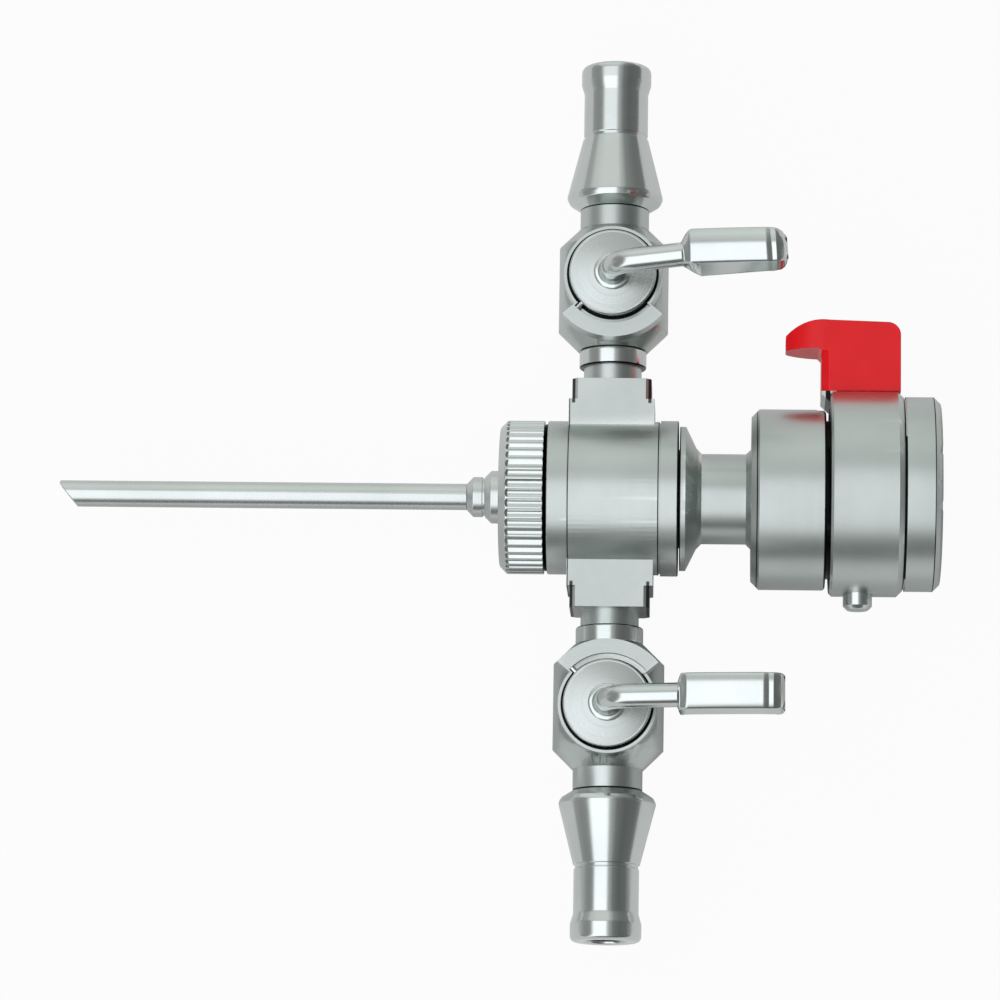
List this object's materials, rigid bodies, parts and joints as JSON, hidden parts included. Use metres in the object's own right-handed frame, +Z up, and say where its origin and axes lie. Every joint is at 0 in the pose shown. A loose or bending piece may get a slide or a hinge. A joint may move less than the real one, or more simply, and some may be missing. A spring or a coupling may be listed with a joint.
{
  "type": "arthroscope sheath",
  "caption": "Steel arthroscope sheath with a swivelling twin-stopcock drum and a red-padded telescope latch.",
  "frame": {"origin": "seat of the telescope socket, where the telescope's coupling plug stops, on the tube's axis", "axes": "+X back along the tube towards the telescope, +Y to the stopcock on the thumb pad's side, +Z up from the table, the side the lever handles stand on"},
  "size_m": [0.1337, 0.1352, 0.0368],
  "materials": {
    "satin_steel": "satin",
    "spun_steel": "brushed",
    "polished_steel": "polished",
    "spring_steel": "satin",
    "seal_rubber": "matt",
    "red_plastic": "gloss"
  },
  "bodies": {
    "sheath_and_coupling": {"sheath_tube": "polished_steel", "tube_ferrule": "polished_steel", "knurled_nut": "satin_steel", "swivel_core": "satin_steel", "front_swivel_oring": "seal_rubber", "rear_swivel_oring": "seal_rubber", "coupling_body": "satin_steel", "scope_seal": "seal_rubber", "seal_nut": "polished_steel", "latch_springs": "spring_steel", "guide_pin": "polished_steel"},
    "latch": {"lock_ring": "satin_steel", "latch_cover": "satin_steel", "cover_screws": "polished_steel", "thumb_pad": "red_plastic", "pad_screws": "polished_steel"},
    "swivel": {"swivel_drum": "satin_steel", "upper_collar": "polished_steel", "upper_neck_seal": "seal_rubber", "upper_cock_body": "satin_steel", "upper_hose_barb": "polished_steel", "lower_collar": "polished_steel", "lower_neck_seal": "seal_rubber", "lower_cock_body": "satin_steel", "lower_hose_barb": "polished_steel"},
    "upper_tap": {"upper_plug": "spun_steel", "upper_stop_pin": "polished_steel", "upper_keeper_washer": "polished_steel", "upper_spring_washer": "spring_steel", "upper_cap_nut": "polished_steel", "upper_lever": "polished_steel"},
    "lower_tap": {"lower_plug": "spun_steel", "lower_stop_pin": "polished_steel", "lower_keeper_washer": "polished_steel", "lower_spring_washer": "spring_steel", "lower_cap_nut": "polished_steel", "lower_lever": "polished_steel"}
  },
  "joints": [
    {"name": "drum_swivel", "type": "hinge", "parent": "sheath_and_coupling", "child": "swivel", "pos_m": [-0.032, 0, 0], "axis": [1, 0, 0], "continuous": true},
    {"name": "upper_lever_turn", "type": "hinge", "parent": "swivel", "child": "upper_tap", "pos_m": [-0.032, 0.0329, 0], "axis": [0, 0, 1], "range_deg": [0, 90]},
    {"name": "lower_lever_turn", "type": "hinge", "parent": "swivel", "child": "lower_tap", "pos_m": [-0.032, -0.0329, 0], "axis": [0, 0, -1], "range_deg": [0, 90]},
    {"name": "latch_press", "type": "slide", "parent": "sheath_and_coupling", "child": "latch", "axis": [0, -1, 0], "range_m": [0, 0.002], "stiffness_N_per_m": 1200, "springref_m": -0.0025, "deforming": ["latch_springs"]}
  ]
}
